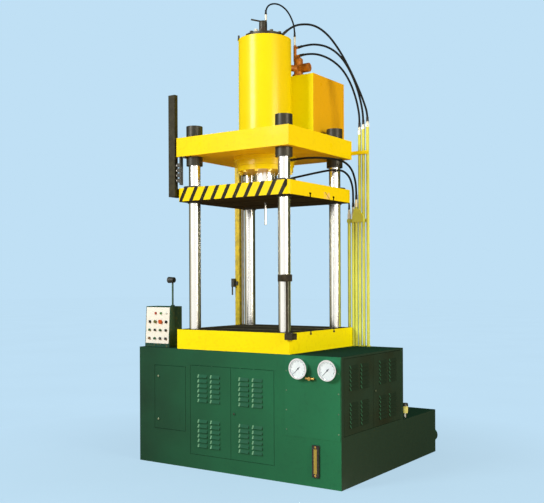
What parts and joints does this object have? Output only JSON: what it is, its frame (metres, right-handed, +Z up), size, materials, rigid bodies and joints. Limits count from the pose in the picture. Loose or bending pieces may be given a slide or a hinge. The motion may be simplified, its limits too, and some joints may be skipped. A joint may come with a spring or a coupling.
{
  "type": "hydraulic press",
  "caption": "Four-column hydraulic press with a louvred sheet cabinet base, sliding plate on guide bushes, top cylinder and tank, oil pipes and hoses, gauges and a push-button console.",
  "frame": {"origin": "on the floor under the ram axis, at the foot of the cabinet", "axes": "+Z up, +X the machine's right, -Y its front"},
  "size_m": [2.046, 1.8909, 4.0037],
  "materials": {
    "yellow_paint": "gloss",
    "green_paint": "semi-gloss",
    "pipe_paint": "gloss",
    "panel_cream": "satin",
    "polished_steel": "polished",
    "dark_steel": "oiled",
    "brass": "dull",
    "hose_rubber": "matte",
    "gauge_chrome": "polished",
    "gauge_glass": "clear",
    "black_plastic": "matte",
    "lamp_plastic": "gloss",
    "button_plastic": "gloss",
    "breather_plastic": "gloss"
  },
  "bodies": {
    "frame": {"bolster": "yellow_paint", "breather": "breather_plastic", "cabinet_shell": "green_paint", "column_nuts": "dark_steel", "columns": "polished_steel", "console_box": "green_paint", "console_panel": "panel_cream", "crown": "yellow_paint", "cylinder_bolts": "yellow_paint", "cylinder_head": "yellow_paint", "gauge_cases": "gauge_chrome", "gauge_glasses": "gauge_glass", "gauge_panel": "green_paint", "gland_flange": "yellow_paint", "hose_cylinder_lower": "hose_rubber", "hose_head_to_pipe": "hose_rubber", "hose_knockout_feed": "hose_rubber", "hose_knockout_return": "hose_rubber", "hose_prefill_pilot": "hose_rubber", "hose_valve_lower": "hose_rubber", "hose_valve_to_pipe": "hose_rubber", "level_gauge": "black_plastic", "limit_switches": "dark_steel", "main_cylinder": "yellow_paint", "oil_pipes": "pipe_paint", "oil_tank": "green_paint", "pilot_lamps": "lamp_plastic", "pipe_clamp": "yellow_paint", "pipe_fittings": "brass", "prefill_valve": "brass", "pump_unit": "green_paint", "stop_collar": "dark_steel", "switch_post": "yellow_paint", "tank_valve": "brass", "upper_tank": "yellow_paint", "work_lamp": "dark_steel"},
    "slide": {"slide_plate": "yellow_paint", "guide_bushes": "dark_steel", "ram": "polished_steel", "striker_bar": "dark_steel"},
    "knockout": {"knockout_rod": "polished_steel"},
    "front_door_left": {"front_door_left": "green_paint"},
    "front_door_right": {"front_door_right": "green_paint"},
    "electric_door": {"electric_door": "green_paint"},
    "side_door_front": {"side_door_front": "green_paint"},
    "side_door_rear": {"side_door_rear": "green_paint"},
    "push_button_1": {"push_button_1": "button_plastic"},
    "push_button_2": {"push_button_2": "button_plastic"},
    "push_button_3": {"push_button_3": "button_plastic"},
    "push_button_4": {"push_button_4": "button_plastic"},
    "push_button_5": {"push_button_5": "button_plastic"},
    "push_button_6": {"push_button_6": "button_plastic"},
    "push_button_7": {"push_button_7": "button_plastic"},
    "push_button_8": {"push_button_8": "button_plastic"},
    "start_button": {"start_button": "lamp_plastic"},
    "emergency_button": {"emergency_button": "lamp_plastic"},
    "selector_left": {"selector_left": "black_plastic"},
    "selector_right": {"selector_right": "black_plastic"},
    "gauge_needle_left": {"gauge_needle_left": "black_plastic"},
    "gauge_needle_right": {"gauge_needle_right": "black_plastic"}
  },
  "joints": [
    {"name": "slide_travel", "type": "slide", "parent": "frame", "child": "slide", "axis": [0, 0, -1], "range_m": [0, 0.6], "deforming": ["hose_knockout_feed", "hose_knockout_return"]},
    {"name": "knockout_travel", "type": "slide", "parent": "slide", "child": "knockout", "axis": [0, 0, 1], "range_m": [0, 0.17]},
    {"name": "front_door_left_swing", "type": "hinge", "parent": "frame", "child": "front_door_left", "pos_m": [-0.422, -0.505, 0.121], "axis": [0, 0, -1], "range_deg": [0, 90]},
    {"name": "front_door_right_swing", "type": "hinge", "parent": "frame", "child": "front_door_right", "pos_m": [0.417, -0.505, 0.121], "axis": [0, 0, 1], "range_deg": [0, 110]},
    {"name": "electric_door_swing", "type": "hinge", "parent": "frame", "child": "electric_door", "pos_m": [-0.488, -0.505, 0.303], "axis": [0, 0, 1], "range_deg": [0, 90]},
    {"name": "side_door_front_swing", "type": "hinge", "parent": "frame", "child": "side_door_front", "pos_m": [1.025, -0.462, 0.399], "axis": [0, 0, -1], "range_deg": [0, 110]},
    {"name": "side_door_rear_swing", "type": "hinge", "parent": "frame", "child": "side_door_rear", "pos_m": [1.025, 0.512, 0.399], "axis": [0, 0, 1], "range_deg": [0, 110]},
    {"name": "push_button_1_press", "type": "slide", "parent": "frame", "child": "push_button_1", "axis": [0, 0.9984, -0.0562], "range_m": [0, 0.004], "stiffness_N_per_m": 400},
    {"name": "push_button_2_press", "type": "slide", "parent": "frame", "child": "push_button_2", "axis": [0, 0.9984, -0.0562], "range_m": [0, 0.004], "stiffness_N_per_m": 400},
    {"name": "push_button_3_press", "type": "slide", "parent": "frame", "child": "push_button_3", "axis": [0, 0.9984, -0.0562], "range_m": [0, 0.004], "stiffness_N_per_m": 400},
    {"name": "push_button_4_press", "type": "slide", "parent": "frame", "child": "push_button_4", "axis": [0, 0.9984, -0.0562], "range_m": [0, 0.004], "stiffness_N_per_m": 400},
    {"name": "push_button_5_press", "type": "slide", "parent": "frame", "child": "push_button_5", "axis": [0, 0.9984, -0.0562], "range_m": [0, 0.004], "stiffness_N_per_m": 400},
    {"name": "push_button_6_press", "type": "slide", "parent": "frame", "child": "push_button_6", "axis": [0, 0.9984, -0.0562], "range_m": [0, 0.004], "stiffness_N_per_m": 400},
    {"name": "push_button_7_press", "type": "slide", "parent": "frame", "child": "push_button_7", "axis": [0, 0.9984, -0.0562], "range_m": [0, 0.004], "stiffness_N_per_m": 400},
    {"name": "push_button_8_press", "type": "slide", "parent": "frame", "child": "push_button_8", "axis": [0, 0.9984, -0.0562], "range_m": [0, 0.004], "stiffness_N_per_m": 400},
    {"name": "start_button_press", "type": "slide", "parent": "frame", "child": "start_button", "axis": [0, 0.9984, -0.0562], "range_m": [0, 0.004], "stiffness_N_per_m": 400},
    {"name": "emergency_button_press", "type": "slide", "parent": "frame", "child": "emergency_button", "axis": [0, 0.9984, -0.0562], "range_m": [0, 0.004]},
    {"name": "selector_left_turn", "type": "hinge", "parent": "frame", "child": "selector_left", "pos_m": [-0.931, -0.45256, 1.22082], "axis": [0, -0.9984, 0.0562], "range_deg": [-45, 45]},
    {"name": "selector_right_turn", "type": "hinge", "parent": "frame", "child": "selector_right", "pos_m": [-0.742, -0.45256, 1.22082], "axis": [0, -0.9984, 0.0562], "range_deg": [-45, 45]},
    {"name": "gauge_needle_left_turn", "type": "hinge", "parent": "frame", "child": "gauge_needle_left", "pos_m": [0.673, -0.549, 0.899], "axis": [0, 1, 0], "range_deg": [0, 270]},
    {"name": "gauge_needle_right_turn", "type": "hinge", "parent": "frame", "child": "gauge_needle_right", "pos_m": [0.932, -0.549, 0.899], "axis": [0, 1, 0], "range_deg": [0, 270]}
  ]
}
